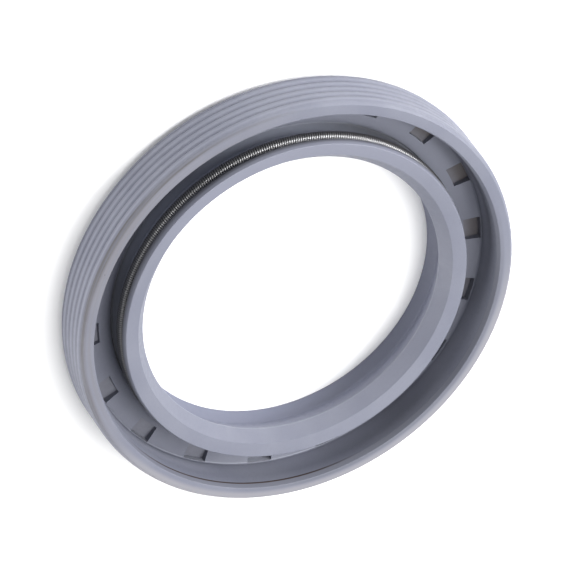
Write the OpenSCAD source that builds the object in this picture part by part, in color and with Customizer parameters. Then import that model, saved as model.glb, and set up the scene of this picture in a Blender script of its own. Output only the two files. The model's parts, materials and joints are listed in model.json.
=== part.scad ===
// Radial shaft seal: rubber moulded round a steel case, with a ribbed outside, a sealing
// lip that a garter spring draws in, and a dust lip at the back.
// Millimetres. Z is the shaft's axis, Z 0 is the back face, and the sprung side faces +Z.

/* [Main sizes] */
// Bore of the housing that the seal is pressed into
housing_d = 65; // [63:0.5:70]
// Shaft that the lips run on
shaft_d = 45; // [42:0.5:46]
// Width along the axis
width = 8; // [7.5:0.5:11]

/* [Ribbed outside] */
// Number of round ribs
rib_count = 5; // [3:1:7]
// Height of a rib above the grooves beside it
rib_height = 0.17; // [0.1:0.01:0.3]
// Plain stretch between the front face and the first rib
front_land = 0.57; // [0.45:0.01:0.9]
// Plain stretch between the back face and the last rib
back_land = 1.03; // [0.9:0.01:1.4]
// Bevel of the front outer edge
front_bevel = 0.38; // [0.2:0.02:0.4]
// Bevel of the back outer edge, which leads the seal into its bore
back_bevel = 0.8; // [0.4:0.05:0.85]

/* [Steel case] */
// Thickness of the sheet
sheet = 0.8; // [0.6:0.05:1]
// Rubber between the tops of the ribs and the case
outer_cover = 1.3; // [1:0.05:1.4]
// Rubber behind the case's flange
back_cover = 0.8; // [0.5:0.05:1]
// Depth of the case's front end below the front face
case_end_depth = 1; // [0.9:0.05:1.5]
// Outside radius of the bend between the case's wall and its flange
bend_r = 1.1; // [1.05:0.05:1.3]
// Distance from the shaft to the flange's inner edge
flange_gap = 3.4; // [3.35:0.05:3.8]

/* [Cavity] */
// Rubber lining inside the case's wall, at the front
lining = 0.26; // [0.2:0.02:0.4]
// How much thicker the lining is at the foot of the wall
lining_taper = 0.29; // [0.1:0.01:0.4]
// Rounding of the front rim into the cavity
rim_round = 0.85; // [0.5:0.05:0.9]
// Rubber on the flange at the floor's inner edge
floor_low = 0.2; // [0.1:0.02:0.3]
// Rubber on the flange at the foot of the wall, up to which the floor slopes
floor_high = 1; // [0.8:0.05:1.2]
// Rounding between the floor and the wall
foot_fillet = 0.4; // [0.2:0.05:0.5]
// Number of windows that the mould's pins leave in the floor
window_count = 18; // [12:1:24]
// Radial length of a window
window_length = 2.35; // [2:0.05:2.6]
// Rubber left between a window and the foot of the wall
window_inset = 0.1; // [0.05:0.01:0.2]
// Angle that one window spans, in degrees
window_span = 7; // [4:0.5:9]
// Angle of the first window from +X, in degrees
window_start = 14; // [0:1:30]
// Rubber that wraps the flange's inner edge
edge_wrap = 0.4; // [0.3:0.05:0.45]
// Rounding of the floor's inner edge
ridge_round = 0.15; // [0.1:0.01:0.2]
// Radius of the trough between the floor and the membrane
trough_r = 0.2; // [0.1:0.01:0.21]

/* [Sealing lip] */
// How much smaller the free lip is than the shaft, on diameter
lip_squeeze = 0.7; // [0.4:0.1:1.2]
// Width of the land at the sealing edge
lip_land = 0.15; // [0.1:0.05:0.2]
// Depth of the lip's front edge below the front face
lip_depth = 0.43; // [0.3:0.01:0.7]
// Distance along the axis from the lip's front edge to the sealing edge
lip_reach = 2.2; // [2:0.02:2.4]
// Radial width of the cone that ends at the sealing edge
cone_width = 1.4; // [1.2:0.01:1.45]
// Slope of that cone to the axis, in degrees
cone_angle = 38; // [36:1:50]
// Slope of the lip's back to the axis, in degrees
air_angle = 25; // [22:1:27]
// Radial distance from the sealing edge to the lip's front outer edge
head_reach = 3.33; // [3.25:0.01:3.5]
// How far the lip's side leans out on its way to the spring groove
head_lean = 0.29; // [0.2:0.01:0.35]
// Depth of the lip's side, from its front edge to the groove
head_side = 0.88; // [0.8:0.02:1]
// Rounding of the lip's outer edges
head_round = 0.12; // [0.05:0.01:0.2]
// Radial thickness of the membrane
membrane = 1.2; // [1:0.05:1.3]
// Rounding between the membrane and the rubber that holds the spring
membrane_fillet = 0.4; // [0.2:0.05:0.5]

/* [Garter spring] */
// Outside diameter of the coil
coil_d = 1.44; // [1.2:0.02:1.5]
// Rubber between the sealing edge and the bottom of the spring groove
spring_bed = 2.32; // [2.2:0.02:2.4]
// Distance that the spring lies behind the sealing edge
spring_offset = 0.37; // [0.2:0.01:0.5]
// Play of the coil in its groove, on radius
groove_play = 0.03; // [0.02:0.01:0.1]
// Thickness of the rubber that holds the spring from behind
groove_rear = 0.44; // [0.3:0.02:0.5]
// How far that rubber reaches outwards past the coil's centre
groove_grip = 0.26; // [0.15:0.01:0.3]

/* [Dust lip] */
// How far the free dust lip stands off the shaft
dust_gap = 0.22; // [0.1:0.02:0.4]
// Thickness of the dust lip's tip
dust_tip = 0.2; // [0.15:0.05:0.3]
// Slope of the dust lip to the axis, in degrees
dust_angle = 32; // [28:1:36]
// Rounding between the two lips
lips_fillet = 0.7; // [0.5:0.05:0.8]
// Radius of the relief behind the dust lip
relief_r = 1.15; // [1:0.05:1.2]
// Depth of that relief
relief_depth = 0.8; // [0.5:0.05:0.85]

/* [Hidden] */
$fn = 180;
// Overlap where one shape runs into another
eps = 0.01;

rubber_colour = [0.62, 0.63, 0.7];
case_colour = [0.42, 0.4, 0.38];
spring_colour = [0.76, 0.77, 0.79];

// Ribbed outside
crest_r = housing_d / 2;
base_r = crest_r - rib_height;
rib_pitch = (width - front_land - back_land) / rib_count;
rib_arc_r = (rib_pitch * rib_pitch / 4 + rib_height * rib_height) / (2 * rib_height);

// Steel case
case_r = crest_r - outer_cover;
case_in_r = case_r - sheet;
case_top = width - case_end_depth;
flange_r = shaft_d / 2 + flange_gap;
flange_z = back_cover + sheet;
inner_bend_r = bend_r - sheet;

// Cavity
wall_r = case_in_r - lining;
foot_r = wall_r - lining_taper;
wall_top = width - rim_round;
floor_z = flange_z + floor_low;
foot_z = flange_z + floor_high;
window_out_r = foot_r - window_inset;
window_in_r = window_out_r - window_length;
window_h = floor_high + foot_fillet;
ridge_r = flange_r - edge_wrap;

// Sealing lip
edge_r = shaft_d / 2 - lip_squeeze / 2;
head_z = width - lip_depth;
edge_z = head_z - lip_reach;
oil_z = edge_z + lip_land / 2;
air_z = edge_z - lip_land / 2;
head_r = edge_r + head_reach;
side_r = head_r + head_lean;
side_z = head_z - head_side;
cone_r = edge_r + cone_width;
cone_z = oil_z + cone_width / tan(cone_angle);

// Garter spring and its groove
coil_r = coil_d / 2;
spring_r = edge_r + spring_bed + coil_r;
spring_z = edge_z - spring_offset;
groove_r = coil_r + groove_play;
groove_mid_r = spring_r + groove_play;
groove_floor = spring_z - groove_r;
grip_r = spring_r + groove_grip;
neck_z = groove_floor - groove_rear;
neck_r = air_r(neck_z) + membrane;
// Height at which the membrane's outer side would run into the floor's inner edge
root_z = air_z - (ridge_r - membrane - edge_r) / tan(air_angle);

// Dust lip and the corner between the lips
dust_r = shaft_d / 2 + dust_gap;
corner_z = (edge_r - dust_r + air_z * tan(air_angle) + dust_tip * tan(dust_angle))
    / (tan(air_angle) + tan(dust_angle));
corner_r = air_r(corner_z);
relief_z = relief_depth - relief_r;
relief_mid_r = dust_r + dust_tip + sqrt(relief_r * relief_r - relief_z * relief_z);

// Radius of the lip's back at height z
function air_r(z) = edge_r + (air_z - z) * tan(air_angle);

function unit(angle) = [cos(angle), sin(angle)];

// Angle of the line from point a to point b
function heading(a, b) = atan2(b[1] - a[1], b[0] - a[0]);

// What lies between the corner at p and a round of radius r, where the corner's two edges
// leave it at angles a and b. Added to a hollow corner, or taken off one that stands out.
module sliver(p, a, b, r) {
    half = (b - a) / 2;
    middle = (a + b) / 2;
    reach = r / tan(half);
    difference() {
        polygon([p - eps * unit(middle), p + reach * unit(a), p + reach * unit(b)]);
        translate(p + r / sin(half) * unit(middle)) circle(r = r);
    }
}

// Half section of the case: an L with a round bend.
module case_section() {
    difference() {
        union() {
            translate([case_in_r, back_cover]) square([sheet, case_top - back_cover]);
            translate([flange_r, back_cover]) square([case_r - flange_r, sheet]);
            sliver([case_in_r, flange_z], 90, 180, inner_bend_r);
        }
        sliver([case_r, back_cover], 90, 180, bend_r);
    }
}

// Half section of the ribs: shallow arcs side by side.
module rib_section() {
    for (i = [0 : rib_count - 1])
        intersection() {
            translate([crest_r - rib_arc_r, back_land + (i + 0.5) * rib_pitch]) circle(r = rib_arc_r);
            translate([base_r - eps, back_land + i * rib_pitch]) square([1, rib_pitch]);
        }
}

// Half section of the rubber, before the case and the windows are taken out of it.
module rubber_section() {
    foot = [foot_r, foot_z];
    ridge = [ridge_r, floor_z];
    root = [ridge_r, root_z];
    neck = [neck_r, neck_z];
    groove_end = [groove_mid_r, groove_floor + 2 * groove_r];
    side = [side_r, side_z];
    head = [head_r, head_z];
    cone = [cone_r, cone_z];
    corner = [corner_r, corner_z];
    difference() {
        union() {
            polygon([
                [base_r - back_bevel, 0],
                [base_r, back_bevel],
                [base_r, width - front_bevel],
                [base_r - front_bevel, width],
                [wall_r, width],
                [wall_r, wall_top],
                foot,
                ridge,
                root,
                neck,
                [grip_r, neck_z],
                [grip_r, groove_floor],
                [groove_mid_r, groove_floor],
                groove_end,
                side,
                head,
                cone,
                [edge_r, oil_z],
                [edge_r, air_z],
                corner,
                [dust_r, dust_tip],
                [dust_r, 0]
            ]);
            rib_section();
            sliver(foot, heading(foot, [wall_r, wall_top]), heading(ridge, foot) + 180, foot_fillet);
            sliver(root, 90, 90 + air_angle, trough_r);
            sliver(neck, air_angle - 90, 0, membrane_fillet);
            sliver(corner, 90 + air_angle, 270 - dust_angle, lips_fillet);
        }
        sliver([wall_r, width], -90, 0, rim_round);
        sliver(ridge, -90, heading(ridge, foot), ridge_round);
        sliver([grip_r, neck_z], 90, 180, head_round);
        sliver([grip_r, groove_floor], 180, 270, head_round);
        sliver(side, heading(side, head), heading(side, groove_end) + 360, head_round);
        sliver(head, heading(head, cone), heading(head, side), head_round);
        translate([groove_mid_r, spring_z]) circle(r = groove_r);
        translate([relief_mid_r, relief_z]) circle(r = relief_r);
    }
}

// One window in the floor, down to the case's flange.
module window() {
    rotate([0, 0, -window_span / 2])
        rotate_extrude(angle = window_span)
            translate([window_in_r, flange_z - eps]) square([window_out_r - window_in_r, window_h]);
}

module seal_body() {
    color(rubber_colour)
        difference() {
            rotate_extrude() difference() {
                rubber_section();
                case_section();
            }
            for (i = [0 : window_count - 1])
                rotate([0, 0, window_start + i * 360 / window_count]) window();
        }
}

module case_ring() {
    color(case_colour) rotate_extrude() case_section();
}

module garter_spring() {
    color(spring_colour) rotate_extrude() translate([spring_r, spring_z]) circle(r = coil_r);
}

seal_body();
case_ring();
garter_spring();
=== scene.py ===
import json
import math

import bmesh
import bpy
from mathutils import Matrix, Vector, noise


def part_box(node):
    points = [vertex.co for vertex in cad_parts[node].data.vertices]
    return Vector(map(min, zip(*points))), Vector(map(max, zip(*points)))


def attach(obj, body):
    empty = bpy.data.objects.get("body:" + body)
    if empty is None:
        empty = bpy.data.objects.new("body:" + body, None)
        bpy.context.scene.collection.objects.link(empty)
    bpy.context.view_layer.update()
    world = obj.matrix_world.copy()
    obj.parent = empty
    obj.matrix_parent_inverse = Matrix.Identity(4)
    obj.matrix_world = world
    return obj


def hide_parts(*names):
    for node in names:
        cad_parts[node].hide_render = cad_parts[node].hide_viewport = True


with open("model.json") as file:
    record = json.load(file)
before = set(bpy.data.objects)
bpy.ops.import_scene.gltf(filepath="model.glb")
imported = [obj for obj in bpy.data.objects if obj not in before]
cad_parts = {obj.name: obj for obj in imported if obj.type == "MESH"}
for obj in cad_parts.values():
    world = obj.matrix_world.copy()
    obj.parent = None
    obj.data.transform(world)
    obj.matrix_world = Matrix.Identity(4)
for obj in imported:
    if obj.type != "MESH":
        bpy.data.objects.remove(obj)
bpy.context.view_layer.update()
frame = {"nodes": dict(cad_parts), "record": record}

MM = 0.001

# Camera. The seal's axis leans away from the line of sight, and the picture is turned about it.
TILT = math.radians(40.86)
ROLL = math.radians(36.04)
DISTANCE = 1382 * MM
PICTURE_WIDTH = 79.14 * MM
SENSOR = 36.0
CLIP_START = 0.01
CLIP_END = 20
# Where the centre of the front edge lies, right of and above the picture's middle
CENTRE_RIGHT = 1.526 * MM
CENTRE_UP = -2.112 * MM
FRONT_EDGE_DEPTH = 0.4 * MM

# Soft lights: azimuth off +X and elevation in degrees, size in metres, and power in watts
LIGHTS = {
    "top": (-15, 75, 0.6, 6.8),
    "key": (-5, 33, 0.4, 8.8),
    "fill": (70, 12, 0.3, 1.8),
    "low": (182, 13, 0.3, 4),
}
LIGHT_DISTANCE = 0.8
WORLD_STRENGTH = 0.5
# The ground under the seal: half its width, and how far it lies below the seal's back
GROUND_HALF = 1.5
GROUND_DROP = 0.02 * MM

# Sizes that the frame gives
body_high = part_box("seal_body")[1]
case_low, case_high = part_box("case_ring")
spring_low, spring_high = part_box("garter_spring")
mounts = {m["name"]: m for m in frame["record"]["mounts"]}
crest_r = body_high.x
width = body_high.z
case_r = case_high.x
back_cover = case_low.z
case_top = case_high.z
coil_r = (spring_high.z - spring_low.z) / 2
spring_z = (spring_high.z + spring_low.z) / 2
spring_r = spring_high.x - coil_r
edge_r = mounts["shaft_lip"]["dims"]["r_mm"] * MM
lip_land = mounts["shaft_lip"]["dims"]["length_mm"] * MM
edge_z = mounts["shaft_lip"]["pos_m"][2]

# Ribbed outside
RIB_COUNT = 5
RIB_HEIGHT = 0.17 * MM
FRONT_LAND = 0.57 * MM
BACK_LAND = 1.03 * MM
RIB_PITCH = (width - FRONT_LAND - BACK_LAND) / RIB_COUNT
FRONT_BEVEL = 0.38 * MM
BACK_BEVEL = 0.8 * MM
# Steel case
SHEET = 0.8 * MM
BEND_R = 1.1 * MM
FLANGE_R = 25.9 * MM
# Cavity
LINING = 0.26 * MM
LINING_TAPER = 0.29 * MM
RIM_LEAD = 0.3 * MM
RIM_DEPTH = 0.8 * MM
RIM_ROUND = 0.12 * MM
FLOOR_LOW = 0.2 * MM
FLOOR_HIGH = 1 * MM
FOOT_FILLET = 0.4 * MM
WINDOW_COUNT = 18
WINDOW_SPAN = math.radians(7)
WINDOW_START = math.radians(14)
WINDOW_LENGTH = 2.35 * MM
WINDOW_INSET = 0.1 * MM
EDGE_WRAP = 0.4 * MM
RIDGE_ROUND = 0.15 * MM
TROUGH_R = 0.2 * MM
# Sealing lip
LIP_DEPTH = 0.43 * MM
CONE_WIDTH = 1.4 * MM
CONE_ANGLE = math.radians(38)
AIR_ANGLE = math.radians(25)
HEAD_REACH = 3.33 * MM
HEAD_LEAN = 0.29 * MM
HEAD_SIDE = 0.88 * MM
HEAD_ROUND = 0.12 * MM
MEMBRANE = 1.2 * MM
MEMBRANE_FILLET = 0.4 * MM
GROOVE_PLAY = 0.03 * MM
GROOVE_REAR = 0.44 * MM
GROOVE_GRIP = 0.26 * MM
# Dust lip
DUST_R = 22.72 * MM
DUST_TIP = 0.2 * MM
DUST_ANGLE = math.radians(32)
LIPS_FILLET = 0.7 * MM
RELIEF_R = 1.15 * MM
RELIEF_DEPTH = 0.8 * MM
# Rounding that every moulded edge has
MOULD_ROUND = 0.05 * MM

# Places that follow from these sizes, outside and in the cavity
base_r = crest_r - RIB_HEIGHT
bevel_r = base_r - FRONT_BEVEL
bevel_z = width - FRONT_BEVEL
flange_z = back_cover + SHEET
case_in_r = case_r - SHEET
wall_r = case_r - SHEET - LINING
lead_r = wall_r + RIM_LEAD
lead_z = width - RIM_DEPTH
foot_r = wall_r - LINING_TAPER
foot_z = flange_z + FLOOR_HIGH
floor_z = flange_z + FLOOR_LOW
ridge_r = FLANGE_R - EDGE_WRAP
window_out_r = foot_r - WINDOW_INSET
window_in_r = window_out_r - WINDOW_LENGTH
# And on the sealing lip
air_z = edge_z - lip_land / 2
oil_z = edge_z + lip_land / 2
cone_r = edge_r + CONE_WIDTH
cone_z = oil_z + CONE_WIDTH / math.tan(CONE_ANGLE)
head_r = edge_r + HEAD_REACH
head_z = width - LIP_DEPTH
groove_r = coil_r + GROOVE_PLAY
groove_floor = spring_z - groove_r
grip_r = spring_r + GROOVE_GRIP
neck_z = groove_floor - GROOVE_REAR
root_z = air_z - (ridge_r - MEMBRANE - edge_r) / math.tan(AIR_ANGLE)

# Steps of the rounds in the section, and columns across a window and between two windows
CORNER_STEPS = 5
RIB_STEPS = 8
FOOT_STEPS = 8
GROOVE_STEPS = 14
RELIEF_STEPS = 12
WINDOW_COLUMNS = 10
SOLID_COLUMNS = 19
# Edges that turn by more than this stay sharp in the shading
SHARP_ANGLE = math.radians(35)

# The sealing edge is cut by a knife: its mean shift, and a slow and a fast wander round the ring
TRIM_SHIFT = 0.02 * MM
SLOW_WANDER = 0.02 * MM
FAST_WANDER = 0.012 * MM
SLOW_WAVES = 6
FAST_WAVES = 40
FAST_START = Vector((0, 0, 9))
# Points this near the edge's radius belong to the edge
EDGE_CATCH = 0.01 * MM

# Garter spring: close-wound wire
TURNS = 472
WIRE_R = 0.163 * MM
STEPS_PER_TURN = 14
WIRE_SIDES = 8

# Colours of the rubber, as shares of red, green and blue light
SKIN = (0.132, 0.139, 0.178)
PALE_SKIN = (0.147, 0.154, 0.192)
DARK_GRAIN = (0.11, 0.115, 0.142)
LIP_BACK = (0.131, 0.14, 0.192)
# Painted shade on the lip's side beside the spring
LIP_SIDE_SHADE = (0.06, 0.062, 0.07)
# Painted light on one side of the lip's face
LIT_LIP_FACE = (0.17, 0.177, 0.22)
# Painted highlight along the sealing edge
EDGE_HIGHLIGHT = (0.19, 0.2, 0.24)
# Painted light in the trough: a plain grey, and a paler one for one side
TROUGH = (0.15, 0.157, 0.18)
LIT_TROUGH = (0.235, 0.25, 0.3)
# Painted highlight on the ridge
RIDGE = (0.25, 0.26, 0.31)
# Painted light on the floor, on one side
PALE_FLOOR = (0.2, 0.209, 0.257)
# Painted light on the lower cavity wall
PALE_WALL = (0.25, 0.26, 0.32)
# Painted light on the windows' outer ends
WINDOW_END = (0.3, 0.312, 0.365)
# Painted shade on the rim's inner part and lead-in
RIM_SHADE = (0.09, 0.094, 0.114)
PALE_RIM = (0.2, 0.199, 0.222)
LEAD_SHADE = (0.085, 0.088, 0.108)
WARM_RIM = (0.132, 0.13, 0.146)
WORN_BEVEL = (0.09, 0.086, 0.094)
BROWN_LINE = (0.035, 0.024, 0.022)
# Painted shade on the ribs' rear slopes
RIB_SHADE = (0.036, 0.039, 0.062)
# Painted light on the ribs' front slopes
RIB_LIT = (0.2, 0.207, 0.255)
# Colours of the case, the spring and the ground under the seal
PRIMER = (0.138, 0.142, 0.173)
PALE_PRIMER = (0.152, 0.156, 0.188)
BROWN_PRIMER = (0.088, 0.079, 0.083)
WIRE = (0.68, 0.68, 0.69)
GREY_WIRE = (0.65, 0.645, 0.65)
# Oil and painted shade on the wire
OILY_SHADED_WIRE = (0.075, 0.075, 0.08)
GROUND = (0.92, 0.92, 0.92)
PALE_GROUND = (0.94, 0.94, 0.94)

# Sides of the ring where a colour shows: the angle round the ring, and how far from it, either
# way, the colour is whole and is gone, in degrees
LIT_TROUGH_SIDE = (85, 26, 56.6)
LIT_LIP_FACE_SIDE = (60, 26, 66.4)
FLOOR_SIDE = (28, 18, 53)
WALL_SIDE = (0, 11.5, 41.4)
OTHER_WALL_SIDE = (195, 8, 32)
WINDOW_END_SIDE = (235, 26, 66.4)
RIM_SHADE_SIDE = (285, 26, 72.5)
PALE_RIM_SIDE = (255, 53, 84)
LEAD_SHADE_SIDE = (255, 53, 96)
WORN_SIDE = (122, 18, 69.5)
LINE_SIDE = (222, 20, 39.6)
RIB_SHADE_SIDE = (150, 0, 75.5)
# Sides with the ribs' painted light, and the side where it is left off
RIB_LIT_SIDE = (165, 0, 90)
RIB_UNLIT_SIDE = (185, 14, 32)
PRIMER_SIDE = (10, 18, 72.5)
# Spring: the side with oil and painted shade within the coil, and the lit side without painted shade
OILY_SHADED_SIDE = (105, 45.6, 78.5)
LIT_WIRE_SIDE = (30, 26, 107.5)

# Usual edges between colours: how far they reach to either side
CRISP = 0.05 * MM
SOFT = 0.1 * MM
# Usual share in which a colour covers the one below
STRONG = 0.8
# Stretches of a noise's values that are drawn out into a change of colour or gloss
NARROW = (0.35, 0.65)
WIDE = (0.3, 0.7)
UPPER = (0.35, 0.7)
PEAKS = (0.5, 0.75)
# Stretches of a rib with painted shade and with painted light, as shares of the pitch from its back, and
# the reach of the edges
SHADE_SPAN = (0.1, 0.24, 0.1)
LIT_SPAN = (0.56, 0.84, 0.14)

# Specks on the rubber: angle round the ring in degrees, radius, height and size in mm, and tone
SPECKS = [
    (127.7, 31.28, 8, 0.1, 0.06),
    (144.7, 32.45, 2.92, 0.12, 0.06),
    (205.8, 30, 3.95, 0.12, 0.45),
    (244.3, 30.05, 7.45, 0.12, 0.07),
]
# Share of a speck's radius that has its whole colour
SPECK_CORE = 0.6


def arc(centre, radius, start, end, steps):
    """Points on a round from angle start to angle end, both ends included."""
    angles = (start + (end - start) * i / steps for i in range(steps + 1))
    return [centre + radius * Vector((math.cos(a), math.sin(a))) for a in angles]


def rounded(before, corner, after, radius, steps=CORNER_STEPS):
    """Points of the round that takes the place of a corner."""
    to_before = (before - corner).normalized()
    to_after = (after - corner).normalized()
    half = to_before.angle(to_after) / 2
    reach = radius / math.tan(half)
    centre = corner + (to_before + to_after).normalized() * (radius / math.sin(half))
    first = corner + to_before * reach - centre
    last = corner + to_after * reach - centre
    start = math.atan2(first.y, first.x)
    sweep = first.angle_signed(last)
    return arc(centre, radius, start, start - sweep, steps)


def outline(corners):
    """Closed outline through (r, z, rounding) corners. A list among them is points to keep."""
    flat = [c if isinstance(c, list) else [Vector(c[:2])] for c in corners]
    points = []
    for i, corner in enumerate(corners):
        if isinstance(corner, list):
            points += corner
        elif corner[2]:
            following = flat[(i + 1) % len(flat)][0]
            points += rounded(flat[i - 1][-1], Vector(corner[:2]), following, corner[2])
        else:
            points += flat[i]
    return points


def rib_points():
    """Outline of the ribs, from the back to the front."""
    radius = (RIB_PITCH * RIB_PITCH / 4 + RIB_HEIGHT * RIB_HEIGHT) / (2 * RIB_HEIGHT)
    half = math.asin(RIB_PITCH / 2 / radius)
    points = []
    for i in range(RIB_COUNT):
        centre = Vector((crest_r - radius, BACK_LAND + (i + 0.5) * RIB_PITCH))
        rib = arc(centre, radius, -half, half, RIB_STEPS)
        points += rib if i == 0 else rib[1:]
    return points


def foot_points():
    """The round at the foot of the cavity's wall as far as a window, and what the window takes."""
    foot = Vector((foot_r, foot_z))
    wall_top = Vector((wall_r, lead_z))
    ridge = Vector((ridge_r, floor_z))
    fillet = rounded(wall_top, foot, ridge, FOOT_FILLET, FOOT_STEPS)
    before_window = [p for p in fillet if p.x > window_out_r]
    in_window = [p for p in fillet if p.x <= window_out_r]
    share = (before_window[-1].x - window_out_r) / (before_window[-1].x - in_window[0].x)
    window_edge = before_window[-1].lerp(in_window[0], share)
    window_end = foot.lerp(ridge, (foot_r - window_in_r) / (foot_r - ridge_r))
    return before_window, [window_edge] + in_window + [window_end]


def groove_points():
    """The half round that holds the spring."""
    centre = Vector((spring_r + GROOVE_PLAY, spring_z))
    return arc(centre, groove_r, -math.pi / 2, -3 * math.pi / 2, GROOVE_STEPS)


def relief_points():
    """The shallow groove in the back, behind the dust lip."""
    centre_z = RELIEF_DEPTH - RELIEF_R
    half = math.sqrt(RELIEF_R * RELIEF_R - centre_z * centre_z)
    end = math.atan2(-centre_z, half)
    return arc(Vector((DUST_R + DUST_TIP + half, centre_z)), RELIEF_R, math.pi - end, end, RELIEF_STEPS)


def air_r(z):
    """Radius of the lip's back at height z."""
    return edge_r + (air_z - z) * math.tan(AIR_ANGLE)


def lips_corner_z():
    """Height at which the backs of the two lips meet."""
    tan_air = math.tan(AIR_ANGLE)
    tan_dust = math.tan(DUST_ANGLE)
    return (edge_r - DUST_R + air_z * tan_air + DUST_TIP * tan_dust) / (tan_air + tan_dust)


def body_outline():
    """Outer outline of the rubber, and the stretch of it that a window takes away."""
    before_window, taken = foot_points()
    corner_z = lips_corner_z()
    points = outline([
        (base_r - BACK_BEVEL, 0, MOULD_ROUND),
        (base_r, BACK_BEVEL, MOULD_ROUND),
        rib_points(),
        (base_r, bevel_z, MOULD_ROUND),
        (bevel_r, width, MOULD_ROUND),
        (lead_r, width, RIM_ROUND),
        (wall_r, lead_z, MOULD_ROUND),
        before_window + taken,
        (ridge_r, floor_z, RIDGE_ROUND),
        (ridge_r, root_z, TROUGH_R),
        (air_r(neck_z) + MEMBRANE, neck_z, MEMBRANE_FILLET),
        (grip_r, neck_z, HEAD_ROUND),
        (grip_r, groove_floor, HEAD_ROUND),
        groove_points(),
        (head_r + HEAD_LEAN, head_z - HEAD_SIDE, HEAD_ROUND),
        (head_r, head_z, HEAD_ROUND),
        (cone_r, cone_z, 0),
        (edge_r, oil_z, 0),
        (edge_r, air_z, 0),
        (air_r(corner_z), corner_z, LIPS_FILLET),
        (DUST_R, DUST_TIP, MOULD_ROUND),
        (DUST_R, 0, MOULD_ROUND),
        relief_points(),
    ])
    return points, taken


def case_outline(window_start, window_end):
    """Outline of the room that the case fills in the rubber, with a window's ends in it."""
    return outline([
        (case_r, case_top, 0),
        (case_in_r, case_top, 0),
        (case_in_r, flange_z, BEND_R - SHEET),
        (window_start, flange_z, 0),
        (window_end, flange_z, 0),
        (FLANGE_R, flange_z, 0),
        (FLANGE_R, back_cover, 0),
        (case_r, back_cover, BEND_R),
    ])


def trimmed(point, angle):
    """The point as it lies at an angle round the ring, where the sealing edge wanders a little."""
    if point.x > edge_r + EDGE_CATCH:
        return point
    here = Vector((math.cos(angle), math.sin(angle), 0))
    slow = noise.noise(here * SLOW_WAVES)
    fast = noise.noise(here * FAST_WAVES + FAST_START)
    wander = SLOW_WANDER * slow + FAST_WANDER * fast
    return point + Vector((TRIM_SHIFT + wander, wander))


def place(point, angle):
    """A point of the section, turned to an angle round the ring."""
    return Vector((point.x * math.cos(angle), point.x * math.sin(angle), point.y))


def column_angles():
    """The angle of each column, and whether the stretch that follows it lies across a window."""
    sector = 2 * math.pi / WINDOW_COUNT
    rest = sector - WINDOW_SPAN
    angles = []
    for k in range(WINDOW_COUNT):
        start = WINDOW_START - WINDOW_SPAN / 2 + k * sector
        solid = start + WINDOW_SPAN
        angles += [(start + WINDOW_SPAN * i / WINDOW_COLUMNS, True) for i in range(WINDOW_COLUMNS)]
        angles += [(solid + rest * i / SOLID_COLUMNS, False) for i in range(SOLID_COLUMNS)]
    return angles


def strip(bm, here, there, left_out=()):
    """Faces between two columns of a closed outline, but for those after the points left out."""
    for j in range(len(here)):
        k = (j + 1) % len(here)
        if j not in left_out:
            bm.faces.new((here[j], there[j], there[k], here[k]))


def smooth_mesh(bm, name):
    """The finished mesh, with its faces turned outwards and shaded smooth."""
    mesh = bpy.data.meshes.new(name)
    bmesh.ops.recalc_face_normals(bm, faces=bm.faces)
    bm.to_mesh(mesh)
    bm.free()
    mesh.shade_smooth()
    return mesh


def link(name, mesh, node):
    """Puts a piece in the scene for a node of the frame."""
    piece = bpy.data.objects.new(name, mesh)
    bpy.context.scene.collection.objects.link(piece)
    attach(piece, "root")
    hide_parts(node)
    return piece


def make_rubber():
    """The moulding, turned column by column, with the windows left out of the cavity's floor."""
    outer, taken = body_outline()
    first = outer.index(taken[0])
    last = first + len(taken) - 1
    inner = case_outline(taken[0].x, taken[-1].x)
    window_corner = Vector((taken[0].x, flange_z))
    out_i = min(range(len(inner)), key=lambda i: (inner[i] - window_corner).length)
    in_i = out_i + 1
    angles = column_angles()
    bm = bmesh.new()
    rings = []
    for i, (angle, window) in enumerate(angles):
        bare = window and angles[i - 1][1]
        column = [None if bare and first < j < last else bm.verts.new(place(trimmed(p, angle), angle))
                  for j, p in enumerate(outer)]
        room = [bm.verts.new(place(p, angle)) for p in inner]
        rings.append((column, room))
    for i, (angle, window) in enumerate(angles):
        here, here_room = rings[i]
        there, there_room = rings[(i + 1) % len(rings)]
        strip(bm, here, there, range(first, last) if window else ())
        strip(bm, there_room, here_room, (out_i,) if window else ())
        if window:
            bm.faces.new((here[first], there[first], there_room[out_i], here_room[out_i]))
            bm.faces.new((here_room[in_i], there_room[in_i], there[last], here[last]))
        if window != angles[i - 1][1]:
            wall = here[first:last + 1] + [here_room[in_i], here_room[out_i]]
            bm.faces.new(wall if window else wall[::-1])
    mesh = smooth_mesh(bm, "rubber_body")
    mesh.set_sharp_from_angle(angle=SHARP_ANGLE)
    return link("rubber_body", mesh, "seal_body")


def wire_ring(bm, turn):
    """Points round the wire, where it has wound through an angle about the coil's own middle."""
    mean_r = coil_r - WIRE_R
    angle = turn / TURNS
    out = Vector((math.cos(angle), math.sin(angle), 0))
    along = Vector((-math.sin(angle), math.cos(angle), 0))
    up = Vector((0, 0, 1))
    radial = out * math.cos(turn) + up * math.sin(turn)
    centre = out * spring_r + up * spring_z + radial * mean_r
    across = up * math.cos(turn) - out * math.sin(turn)
    tangent = (across * mean_r * TURNS + along * (spring_r + mean_r * math.cos(turn))).normalized()
    side = tangent.cross(radial)
    sides = (2 * math.pi * s / WIRE_SIDES for s in range(WIRE_SIDES))
    return [bm.verts.new(centre + WIRE_R * (radial * math.cos(a) + side * math.sin(a))) for a in sides]


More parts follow.
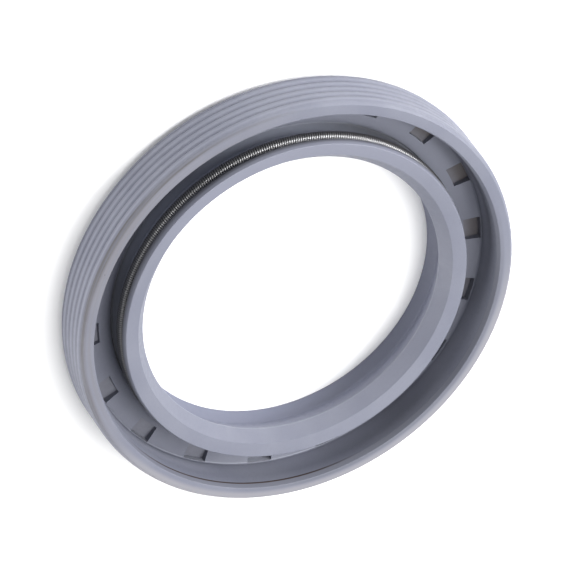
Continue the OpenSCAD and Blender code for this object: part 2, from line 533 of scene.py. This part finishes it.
def make_spring():
    """The garter spring's wire, wound round a ring and closed on itself."""
    steps = TURNS * STEPS_PER_TURN
    bm = bmesh.new()
    rings = [wire_ring(bm, 2 * math.pi * i / STEPS_PER_TURN) for i in range(steps)]
    for i, here in enumerate(rings):
        there = rings[(i + 1) % steps]
        for s in range(WIRE_SIDES):
            t = (s + 1) % WIRE_SIDES
            bm.faces.new((here[s], here[t], there[t], there[s]))
    mesh = smooth_mesh(bm, "garter_spring_wire")
    return link("garter_spring_wire", mesh, "garter_spring")


class Material:
    """A node material and its colour so far, with short calls that add nodes. Lengths in metres."""

    def __init__(self, name):
        self.data = bpy.data.materials.new(name)
        self.data.use_nodes = True
        self.nodes = self.data.node_tree.nodes
        self.links = self.data.node_tree.links
        self.shader = self.nodes["Principled BSDF"]
        self.place = self.nodes.new("ShaderNodeNewGeometry").outputs["Position"]
        scale = self.nodes.new("ShaderNodeVectorMath")
        scale.operation = "SCALE"
        self.join(self.place, scale.inputs[0])
        scale.inputs["Scale"].default_value = 1 / MM
        self.millimetres = scale.outputs[0]
        split = self.nodes.new("ShaderNodeSeparateXYZ")
        self.join(self.place, split.inputs[0])
        self.x, self.y, self.z = split.outputs
        self.r = self.distance(self.x, self.y)
        self.colour = None

    def join(self, value, socket):
        if isinstance(value, bpy.types.NodeSocket):
            self.links.new(value, socket)
        else:
            socket.default_value = value

    def give(self, name, value):
        """Gives one of the shader's inputs a value, or a node's output."""
        self.join(value, self.shader.inputs[name])

    def math(self, operation, *values):
        node = self.nodes.new("ShaderNodeMath")
        node.operation = operation
        for value, socket in zip(values, node.inputs):
            self.join(value, socket)
        return node.outputs[0]

    def fold(self, operation, first, *rest):
        """Works values together from left to right."""
        for value in rest:
            first = self.math(operation, first, value)
        return first

    def distance(self, a, b):
        """Length of the line whose legs are a and b."""
        squares = self.math("ADD", self.math("MULTIPLY", a, a), self.math("MULTIPLY", b, b))
        return self.math("SQRT", squares)

    def inverse(self, value):
        """One where the value is nothing, and nothing where it is one."""
        return self.math("SUBTRACT", 1, value)

    def noise(self, waves, detail=2.0, roughness=0.5, place=None):
        """Noise of so many waves per millimetre, or per unit of a place of its own."""
        node = self.nodes.new("ShaderNodeTexNoise")
        self.join(place or self.millimetres, node.inputs["Vector"])
        node.inputs["Scale"].default_value = waves
        node.inputs["Detail"].default_value = detail
        node.inputs["Roughness"].default_value = roughness
        return node.outputs["Fac"]

    def streaks(self, along, across):
        """Noise drawn out round the ring: waves per millimetre along it and across it."""
        vector = self.nodes.new("ShaderNodeCombineXYZ")
        section = self.math("SUBTRACT", self.r, self.z)
        for value, waves, socket in zip((self.x, self.y, section), (along, along, across), vector.inputs):
            self.join(self.math("MULTIPLY", value, waves / MM), socket)
        return self.noise(waves=1, place=vector.outputs[0])

    def ramp(self, value, low, high, out_low=0.0, out_high=1.0):
        """Goes smoothly from out_low to out_high as the value goes from low to high."""
        node = self.nodes.new("ShaderNodeMapRange")
        node.interpolation_type = "SMOOTHSTEP"
        self.join(value, node.inputs["Value"])
        node.inputs["From Min"].default_value = low
        node.inputs["From Max"].default_value = high
        node.inputs["To Min"].default_value = out_low
        node.inputs["To Max"].default_value = out_high
        return node.outputs["Result"]

    def above(self, value, level, soft):
        """One above a level, with an edge that reaches as far as soft to either side of it."""
        return self.ramp(value, level - soft, level + soft)

    def below(self, value, level, soft):
        """One below a level, with an edge that reaches as far as soft to either side of it."""
        return self.ramp(value, level - soft, level + soft, 1, 0)

    def band(self, value, low, high, soft):
        """One between two levels, with edges that reach as far as soft to either side of them."""
        return self.math("MULTIPLY", self.above(value, low, soft), self.below(value, high, soft))

    def side(self, where, least=0.0):
        """One on a side of the ring, and no less than a least value anywhere."""
        degrees, whole, gone = where
        a = math.radians(degrees)
        across = self.math("ADD", self.math("MULTIPLY", self.x, math.cos(a)),
                           self.math("MULTIPLY", self.y, math.sin(a)))
        toward = self.math("DIVIDE", across, self.r)
        return self.ramp(toward, math.cos(math.radians(gone)), math.cos(math.radians(whole)), least)

    def spot(self, degrees, r, z, radius):
        """One in a round spot on the surface, at an angle round the ring, a radius and a height."""
        a = math.radians(degrees)
        node = self.nodes.new("ShaderNodeVectorMath")
        node.operation = "DISTANCE"
        self.join(self.place, node.inputs[0])
        node.inputs[1].default_value = (r * math.cos(a), r * math.sin(a), z)
        return self.ramp(node.outputs["Value"], radius * SPECK_CORE, radius, 1, 0)

    def mix(self, factor, a, b):
        """Colour a where the factor is nothing, and colour b where it is one."""
        node = self.nodes.new("ShaderNodeMix")
        node.data_type = "RGBA"
        self.join(factor, node.inputs[0])
        for value, socket in ((a, node.inputs[6]), (b, node.inputs[7])):
            self.join((*value, 1) if isinstance(value, tuple) else value, socket)
        return node.outputs[2]

    def paint(self, colour, *factors):
        """Lays a colour over the one so far, as strongly as the factors' product says."""
        self.colour = self.mix(self.fold("MULTIPLY", *factors), self.colour, colour)

    def bump(self, height, strength, distance):
        """A grain in the surface's shading."""
        node = self.nodes.new("ShaderNodeBump")
        node.inputs["Strength"].default_value = strength
        node.inputs["Distance"].default_value = distance
        self.join(height, node.inputs["Height"])
        self.give("Normal", node.outputs["Normal"])


def paint_skin(m):
    """Two close tones in wide clouds, with a fine dark grain."""
    grain_share = 0.2
    m.colour = m.mix(m.ramp(m.noise(waves=0.12), *NARROW), SKIN, PALE_SKIN)
    m.paint(DARK_GRAIN, m.ramp(m.noise(waves=4, detail=3), *PEAKS), grain_share)


def paint_membrane(m):
    """The lip's back is bluer. Across the membrane, the trough has painted light: a plain grey, paler on
    one side.
    """
    back_depth = 0.4 * MM
    back_top = 5.1 * MM
    back_share = 0.7
    trough_in_r = 23.4 * MM
    trough_top = 5.7 * MM
    trough_fade = 0.5 * MM
    trough_share = 0.9
    through = m.math("SUBTRACT", m.r, m.math("MULTIPLY_ADD", m.z, -math.tan(AIR_ANGLE), air_r(0)))
    back = m.below(through, back_depth, SOFT)
    m.paint(LIP_BACK, back, m.below(m.z, back_top, SOFT), back_share)
    # Painted light: the trough is a paler plain grey, and paler still on one side.
    trough_light = m.mix(m.side(LIT_TROUGH_SIDE), TROUGH, LIT_TROUGH)
    ring = m.band(m.r, trough_in_r, ridge_r + SOFT, SOFT)
    deep = m.below(m.z, trough_top, trough_fade)
    m.paint(trough_light, ring, deep, m.above(through, back_depth, SOFT), trough_share)


def paint_lip(m):
    """The lip has painted shade beside the spring, painted light on one side of its face, and a painted
    highlight on its cut edge.
    """
    side_in_r = 25.4 * MM
    side_out_r = 26 * MM
    side_edge = 0.06 * MM
    side_low = 5.9 * MM
    side_high = 7 * MM
    side_fade = 0.45 * MM
    side_share = 0.85
    face_low = 7 * MM
    face_out_r = 25.65 * MM
    edge_low = 5.2 * MM
    edge_high = 5.5 * MM
    edge_share = 0.5
    beside = m.band(m.r, side_in_r, side_out_r, side_edge)
    # Painted shade: the lip's side beside the spring is darkened.
    m.paint(LIP_SIDE_SHADE, beside, m.band(m.z, side_low, side_high, side_fade), side_share)
    # Painted light: the lip's face is paler on one side.
    face = m.math("MULTIPLY", m.above(m.z, face_low, SOFT), m.below(m.r, face_out_r, CRISP))
    m.paint(LIT_LIP_FACE, face, m.side(LIT_LIP_FACE_SIDE), STRONG)
    # Painted highlight along the sealing edge.
    edge = m.below(m.r, edge_r + SOFT, CRISP)
    m.paint(EDGE_HIGHLIGHT, edge, m.band(m.z, edge_low, edge_high, CRISP), edge_share)


def paint_wall(m):
    """The cavity's wall has painted light: paler low down, above all on two sides."""
    pale_top = 4.8 * MM
    pale_fade = 1 * MM
    crease_low = 2.9 * MM
    crease_high = 3.3 * MM
    crease_share = 0.2
    least = 0.25
    # Painted light on the lower wall, strongest on two sides.
    wall = m.band(m.r, window_out_r, wall_r + SOFT, CRISP)
    crease = m.ramp(m.z, crease_low, crease_high, crease_share)
    sides = m.fold("MAXIMUM", m.side(WALL_SIDE), m.side(OTHER_WALL_SIDE), least)
    m.paint(PALE_WALL, wall, m.below(m.z, pale_top, pale_fade), crease, sides)


def paint_floor(m):
    """Painted light: the floor is paler on one side and the windows' outer ends opposite; a painted
    highlight runs along the ridge all round.
    """
    floor_out_r = 28.5 * MM
    floor_fade = 0.7 * MM
    floor_top = 3.05 * MM
    top_fade = 0.15 * MM
    end_edge = 0.04 * MM
    end_fade = 0.2 * MM
    ridge_in_r = ridge_r - 0.04 * MM
    # Painted light: the floor is paler on one side.
    ring = m.math("MULTIPLY", m.above(m.r, ridge_r + SOFT, SOFT), m.below(m.r, floor_out_r, floor_fade))
    m.paint(PALE_FLOOR, ring, m.below(m.z, floor_top, top_fade), m.side(FLOOR_SIDE))
    # Painted light: the windows' outer end walls are paler on one side.
    end = m.band(m.r, window_out_r - CRISP, window_out_r + CRISP, end_edge)
    m.paint(WINDOW_END, end, m.below(m.z, foot_z + SOFT, end_fade), m.side(WINDOW_END_SIDE))
    # Painted highlight along the ridge, all round.
    ridge = m.band(m.r, ridge_in_r, ridge_r + SOFT, CRISP)
    m.paint(RIDGE, ridge, m.band(m.z, flange_z, floor_z + SOFT, SOFT), STRONG)


def rim_face(m):
    """One on the rim's flat face."""
    face_low = 7.8 * MM
    face_in_r = 30.45 * MM
    return m.math("MULTIPLY", m.above(m.z, face_low, SOFT), m.above(m.r, face_in_r, CRISP))


def paint_rim(m):
    """On one side the rim's face has painted shade within and is pale without, and its lead-in has
    painted shade.
    """
    dark_out_r = 31 * MM
    dark_fade = 0.2 * MM
    dark_share = 0.55
    pale_in_r = 31.2 * MM
    pale_fade = 0.4 * MM
    pale_low = 7.6 * MM
    lead_in_r = 30.1 * MM
    lead_out_r = 30.43 * MM
    lead_edge = 0.02 * MM
    lead_low = 7.175 * MM
    lead_fade = 0.075 * MM
    lead_share = 0.6
    # Painted shade on the inner part of the rim's face, on one side.
    within = m.below(m.r, dark_out_r, dark_fade)
    m.paint(RIM_SHADE, rim_face(m), m.side(RIM_SHADE_SIDE), within, dark_share)
    without = m.above(m.r, pale_in_r, pale_fade)
    m.paint(PALE_RIM, without, m.above(m.z, pale_low, SOFT), m.side(PALE_RIM_SIDE))
    # Painted shade on the lead-in, on one side.
    lead = m.band(m.r, lead_in_r, lead_out_r, lead_edge)
    m.paint(LEAD_SHADE, lead, m.above(m.z, lead_low, lead_fade), m.side(LEAD_SHADE_SIDE), lead_share)


def paint_wear(m):
    """On the opposite side the rim's face is warmer, and its bevel is worn dark, both in streaks."""
    least = 0.35
    bevel_in_r = 31.675 * MM
    in_fade = 0.225 * MM
    bevel_low = 7.525 * MM
    low_fade = 0.075 * MM
    streak = m.ramp(m.streaks(along=0.05, across=2.4), *NARROW, least)
    worn_side = m.side(WORN_SIDE)
    m.paint(WARM_RIM, rim_face(m), worn_side, streak, STRONG)
    bevel = m.math("MULTIPLY", m.above(m.r, bevel_in_r, in_fade), m.above(m.z, bevel_low, low_fade))
    m.paint(WORN_BEVEL, bevel, worn_side, streak)


def paint_line(m):
    """A brown line on one side, where the rim's lead-in turns into the cavity's wall."""
    line_low = 7.02 * MM
    line_high = 7.28 * MM
    line_in_r = 29.9 * MM
    line_out_r = 30.3 * MM
    line = m.band(m.z, line_low, line_high, CRISP)
    m.paint(BROWN_LINE, line, m.band(m.r, line_in_r, line_out_r, SOFT), m.side(LINE_SIDE))


def paint_ribs(m):
    """Painted shade on the rear slopes of the ribs, and painted light on their front slopes. Returns the
    shade.
    """
    outside_r = 32.25 * MM
    ribs_low = 1 * MM
    ribs_high = width - FRONT_LAND
    ribs_edge = 0.02 * MM
    wave = m.math("FRACT", m.math("DIVIDE", m.math("SUBTRACT", m.z, BACK_LAND), RIB_PITCH))
    ribs = m.math("MULTIPLY", m.above(m.r, outside_r, CRISP), m.band(m.z, ribs_low, ribs_high, ribs_edge))
    rib_shade = m.fold("MULTIPLY", m.band(wave, *SHADE_SPAN), ribs, m.side(RIB_SHADE_SIDE, least=0.68))
    # Painted shade on the rear slopes, which face away from the light.
    m.paint(RIB_SHADE, rib_shade)
    # Painted light on the front slopes, which face the light, left off on one side.
    rib_lit = m.fold("MULTIPLY", m.band(wave, *LIT_SPAN), ribs, m.side(RIB_LIT_SIDE, least=0.4))
    m.paint(RIB_LIT, rib_lit, m.inverse(m.side(RIB_UNLIT_SIDE)))
    return rib_shade


def rubber_material():
    """Blue-grey moulded rubber: a dull skin with a fine grain, traces of handling, and painted light and
    shade.
    """
    m = Material("moulded_rubber")
    paint_skin(m)
    paint_membrane(m)
    paint_lip(m)
    paint_wall(m)
    paint_floor(m)
    paint_rim(m)
    paint_wear(m)
    paint_line(m)
    rib_shade = paint_ribs(m)
    for degrees, r, z, radius, tone in SPECKS:
        m.paint((tone, tone, tone), m.spot(degrees, r * MM, z * MM, radius * MM), STRONG)
    m.give("Base Color", m.colour)
    m.give("Roughness", m.ramp(m.noise(waves=1.5, detail=3), *WIDE, out_low=0.5, out_high=0.62))
    # The ribs' painted shade also takes their sheen away.
    m.give("Specular IOR Level", m.ramp(rib_shade, 0, 1, out_low=0.35, out_high=0.02))
    m.bump(m.noise(waves=9, detail=3, roughness=0.6), strength=0.25, distance=0.02 * MM)
    return m.data


def case_material():
    """Steel with the dull primer that bonds the rubber to it, browner on one side."""
    brown_in_r = 27.5 * MM
    brown_out_r = 29 * MM
    brown_least = 0.45
    m = Material("primed_steel")
    m.colour = m.mix(m.ramp(m.noise(waves=1.2, detail=4), *WIDE), PRIMER, PALE_PRIMER)
    m.paint(BROWN_PRIMER, m.side(PRIMER_SIDE), m.ramp(m.r, brown_in_r, brown_out_r, brown_least))
    m.give("Base Color", m.colour)
    m.give("Metallic", 0.1)
    m.give("Roughness", m.ramp(m.noise(waves=3, detail=3), *WIDE, out_low=0.4, out_high=0.55))
    m.bump(m.noise(waves=12, detail=2), strength=0.2, distance=0.01 * MM)
    return m.data


def spring_material():
    """Drawn steel wire, dark with oil and painted shade on both sides of the coil, with painted shade
    between its turns and away from its lit side.
    """
    inner_r = spring_r - 0.13 * MM
    inner_fade = 0.08 * MM
    outer_r = spring_r + 0.38 * MM
    outer_fade = 0.15 * MM
    far_share = 0.7
    gap_bottom = coil_r - 0.12 * MM
    gap_top = coil_r - 0.015 * MM
    oil_and_shade_share = 0.9
    m = Material("spring_wire")
    m.colour = m.mix(m.ramp(m.noise(waves=2), *UPPER), WIRE, GREY_WIRE)
    inner = m.math("MULTIPLY", m.below(m.r, inner_r, inner_fade), m.side(OILY_SHADED_SIDE))
    outer = m.above(m.r, outer_r, outer_fade)
    far = m.math("MULTIPLY", m.inverse(m.side(LIT_WIRE_SIDE)), far_share)
    reach = m.distance(m.math("SUBTRACT", m.r, spring_r), m.math("SUBTRACT", m.z, spring_z))
    gap = m.ramp(reach, gap_bottom, gap_top, 1, 0)
    # Oil and painted shade on the coil's sides, painted shade between the turns and away from the lit
    # side.
    m.paint(OILY_SHADED_WIRE, m.fold("MAXIMUM", outer, inner, far, gap), oil_and_shade_share)
    m.give("Base Color", m.colour)
    m.give("Metallic", 0.75)
    m.give("Roughness", m.ramp(m.noise(waves=6), *WIDE, out_low=0.48, out_high=0.52))
    return m.data


def ground_material():
    """A plain pale floor."""
    m = Material("pale_floor")
    m.give("Base Color", m.mix(m.noise(waves=0.01), GROUND, PALE_GROUND))
    m.give("Roughness", 0.9)
    m.give("Specular IOR Level", 0.1)
    return m.data


def cover(piece, material):
    piece.data.materials.clear()
    piece.data.materials.append(material)


def make_floor():
    """The wide pale ground that the seal lies on."""
    mesh = bpy.data.meshes.new("floor")
    signs = ((-1, -1), (1, -1), (1, 1), (-1, 1))
    corners = [(x * GROUND_HALF, y * GROUND_HALF, -GROUND_DROP) for x, y in signs]
    mesh.from_pydata(corners, [], [(0, 1, 2, 3)])
    floor = bpy.data.objects.new("floor", mesh)
    bpy.context.scene.collection.objects.link(floor)
    cover(floor, ground_material())


def make_camera():
    """The camera at the photo's angle. Right, up and view are its axes in the seal's frame."""
    view = Vector((0, math.sin(TILT), math.cos(TILT)))
    back = Vector((0, math.cos(TILT), -math.sin(TILT)))
    side = Vector((1, 0, 0))
    right = side * math.cos(ROLL) - back * math.sin(ROLL)
    up = side * math.sin(ROLL) + back * math.cos(ROLL)
    target = Vector((0, 0, width - FRONT_EDGE_DEPTH)) - right * CENTRE_RIGHT - up * CENTRE_UP
    camera = bpy.data.objects.new("camera", bpy.data.cameras.new("camera"))
    camera.data.sensor_width = SENSOR
    camera.data.lens = SENSOR * DISTANCE / PICTURE_WIDTH
    camera.data.clip_start = CLIP_START
    camera.data.clip_end = CLIP_END
    turn = Matrix((right, up, view)).transposed().to_4x4()
    camera.matrix_world = Matrix.Translation(target + view * DISTANCE) @ turn
    bpy.context.scene.collection.objects.link(camera)
    bpy.context.scene.camera = camera


def make_light(name, azimuth, elevation, size, power):
    """A square soft light that looks at the seal."""
    a = math.radians(azimuth)
    e = math.radians(elevation)
    direction = Vector((math.cos(e) * math.cos(a), math.cos(e) * math.sin(a), math.sin(e)))
    lamp = bpy.data.lights.new(name, "AREA")
    lamp.size = size
    lamp.energy = power
    light = bpy.data.objects.new(name, lamp)
    light.location = direction * LIGHT_DISTANCE
    light.rotation_mode = "QUATERNION"
    light.rotation_quaternion = direction.to_track_quat("Z", "Y")
    bpy.context.scene.collection.objects.link(light)


def make_world():
    """An even white glow from all round."""
    world = bpy.data.worlds.new("studio")
    world.use_nodes = True
    background = world.node_tree.nodes["Background"]
    background.inputs["Color"].default_value = (1, 1, 1, 1)
    background.inputs["Strength"].default_value = WORLD_STRENGTH
    bpy.context.scene.world = world


make_camera()
make_world()
for light_name, values in LIGHTS.items():
    make_light(light_name, *values)
make_floor()
bpy.context.scene.view_settings.view_transform = "Standard"

cover(make_rubber(), rubber_material())
cover(make_spring(), spring_material())
cover(frame["nodes"]["case_ring"], case_material())
